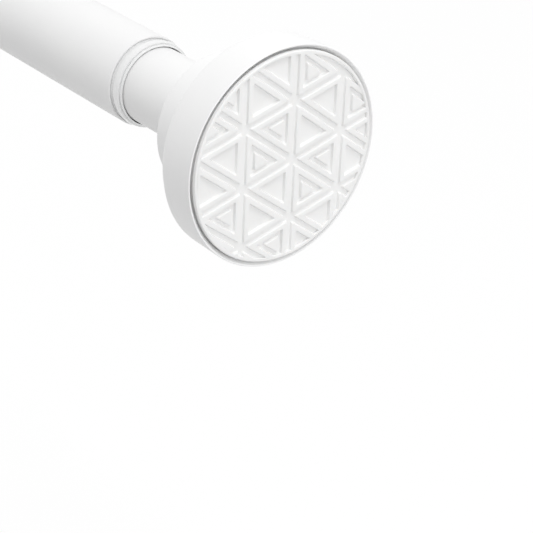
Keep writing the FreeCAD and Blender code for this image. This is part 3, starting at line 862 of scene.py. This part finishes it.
def plated_steel(name, colour, low, high):
    """Bright steel with slightly uneven plating."""
    material = new_material(name, colour, high, metallic=1.0)
    tint(material, noise(material, 260), tuple(c * 0.92 for c in colour), colour)
    vary_roughness(material, noise(material, 900), low, high)
    bump(material, noise(material, 2400), strength=0.06, distance=0.00004)
    return material


MATERIALS = {
    "outer_enamel": enamel("white_enamel_outer"),
    "inner_enamel": enamel("white_enamel_inner"),
    "clear_plastic": clear_plastic("clear_moulded_plastic"),
    "cap_plastic": moulded("white_cap_plastic", (0.91, 0.91, 0.91), 0.34, 0.42),
    "pad_rubber": elastomer("soft_white_pad"),
    "plug_plastic": moulded("natural_plug_plastic", (0.82, 0.82, 0.8), 0.4, 0.5),
    "lock_plastic": moulded("grey_lock_plastic", (0.36, 0.37, 0.38), 0.35, 0.45),
    "zinc_steel": plated_steel("zinc_plated_steel", (0.7, 0.71, 0.72), 0.25, 0.38),
    "spring_steel": plated_steel("drawn_spring_wire", (0.5, 0.5, 0.51), 0.28, 0.4),
}


def dress(piece, slot_name):
    """Give a new piece the material of a slot of the record."""
    piece.data.materials.clear()
    piece.data.materials.append(MATERIALS[slot_name])


def dress_cad_nodes():
    """Give every carried-over solid its slot's material."""
    for subpart in frame["record"]["subparts"]:
        node = frame["nodes"][subpart["node"]]
        material = MATERIALS[subpart["material_slot"]]
        if node.material_slots:
            for place in node.material_slots:
                place.material = material
        else:
            node.data.materials.append(material)


def stand_in(piece, node, body, slot_name):
    """A finished piece that takes the place of a solid on its body."""
    dress(piece, slot_name)
    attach(piece, body)
    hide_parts(node)


def build_rod():
    """Every piece of the rod that gets more detail than its solid has."""
    stand_in(tube("outer_tube", "thick_tube"), "thick_tube", "outer", "outer_enamel")
    stand_in(tube("inner_tube", "thin_tube"), "thin_tube", "inner", "inner_enamel")
    stand_in(collar(), "tube_collar", "outer", "clear_plastic")
    ends = {"left": ("outer", "thick_tube"), "right": ("inner", "thin_tube")}
    for side, (body, tube_node) in ends.items():
        tube_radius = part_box(tube_node)[1].z / MM
        stand_in(pad(side), side + "_pad", body, "pad_rubber")
        stand_in(cap_housing(side, tube_radius), side + "_cap_housing", body, "cap_plastic")
        stand_in(cap_screw(side), side + "_cap_screw", body, "zinc_steel")
    stand_in(spindle(), "spindle", "spindle_set", "zinc_steel")
    coil = spring()
    stand_in(coil, "push_spring", "spindle_set", "spring_steel")
    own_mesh(coil)


# Camera, light and floor


def camera():
    """Camera at the photograph's viewing angle."""
    data = bpy.data.cameras.new("view")
    data.lens = CAMERA_LENS
    data.clip_start, data.clip_end = CAMERA_CLIP
    eye = bpy.data.objects.new("view", data)
    eye.location = Vector((ROD_LENGTH * MM, 0, 0)) + CAMERA_FROM_PAD
    eye.rotation_mode = "QUATERNION"
    eye.rotation_quaternion = CAMERA_LOOK.to_track_quat("-Z", "Y")
    bpy.context.scene.collection.objects.link(eye)
    bpy.context.scene.camera = eye


def soft_light(name, along, direction, power):
    """Square lamp that faces a place along the rod."""
    data = bpy.data.lights.new(name, "AREA")
    data.size = LAMP_SIZE
    data.energy = power
    lamp = bpy.data.objects.new(name, data)
    target = Vector((along * MM, 0, 0))
    offset = Vector(direction).normalized() * LAMP_DISTANCE
    lamp.location = target + offset
    lamp.rotation_mode = "QUATERNION"
    lamp.rotation_quaternion = (-offset).to_track_quat("-Z", "Y")
    lamp.visible_glossy = False
    bpy.context.scene.collection.objects.link(lamp)


def white_where_seen(tree, plain, seen):
    """Mix two shaders: one where the surface is seen, mirrored or seen through, one elsewhere."""
    path = tree.nodes.new("ShaderNodeLightPath")
    most = path.outputs["Is Camera Ray"]
    for other in ("Is Glossy Ray", "Is Transmission Ray"):
        either = tree.nodes.new("ShaderNodeMath")
        either.operation = "MAXIMUM"
        tree.links.new(most, either.inputs[0])
        tree.links.new(path.outputs[other], either.inputs[1])
        most = either.outputs[0]
    mix = tree.nodes.new("ShaderNodeMixShader")
    tree.links.new(most, mix.inputs["Fac"])
    tree.links.new(plain, mix.inputs[1])
    tree.links.new(seen, mix.inputs[2])
    return mix.outputs["Shader"]


def world():
    """Even light from all round, which is white where it is seen."""
    surround = bpy.data.worlds.new("studio")
    bpy.context.scene.world = surround
    surround.use_nodes = True
    tree = surround.node_tree
    plain = tree.nodes["Background"]
    plain.inputs["Color"].default_value = (1, 1, 1, 1)
    plain.inputs["Strength"].default_value = WORLD_STRENGTH
    seen = tree.nodes.new("ShaderNodeBackground")
    seen.inputs["Color"].default_value = (1, 1, 1, 1)
    seen.inputs["Strength"].default_value = 1
    mixed = white_where_seen(tree, plain.outputs[0], seen.outputs[0])
    tree.links.new(mixed, tree.nodes["World Output"].inputs["Surface"])


def floor():
    """Pale floor, which is nearly white where it is seen but for the rod's shadow."""
    bm = bmesh.new()
    bmesh.ops.create_grid(bm, x_segments=1, y_segments=1, size=FLOOR_REACH)
    mesh = bpy.data.meshes.new("floor")
    bm.to_mesh(mesh)
    bm.free()
    ground = bpy.data.objects.new("floor", mesh)
    ground.location.z = -FLOOR_DROP
    bpy.context.scene.collection.objects.link(ground)
    material = new_material("pale_floor", (0.6, 0.6, 0.6), 0.9)
    tree = material.node_tree
    pale = tree.nodes.new("ShaderNodeBsdfDiffuse")
    pale.inputs["Color"].default_value = (0.97, 0.97, 0.97, 1)
    glow = tree.nodes.new("ShaderNodeEmission")
    glow.inputs["Strength"].default_value = 1
    shade = tree.nodes.new("ShaderNodeMixShader")
    shade.inputs["Fac"].default_value = FLOOR_GLOW
    tree.links.new(pale.outputs[0], shade.inputs[1])
    tree.links.new(glow.outputs[0], shade.inputs[2])
    mixed = white_where_seen(tree, tree.nodes["Principled BSDF"].outputs[0], shade.outputs[0])
    tree.links.new(mixed, tree.nodes["Material Output"].inputs["Surface"])
    mesh.materials.append(material)


def studio():
    bpy.context.scene.view_settings.view_transform = "Standard"
    world()
    soft_light("overhead", ROD_LENGTH, (0.4, 0.0, 1.0), power=5.8)
    soft_light("right_side", ROD_LENGTH, (1.0, 0.2, 0.0), power=3.0)
    soft_light("left_side", 0, (-1.0, 0.0, 0.3), power=4.0)
    floor()


dress_cad_nodes()
build_rod()
camera()
studio()
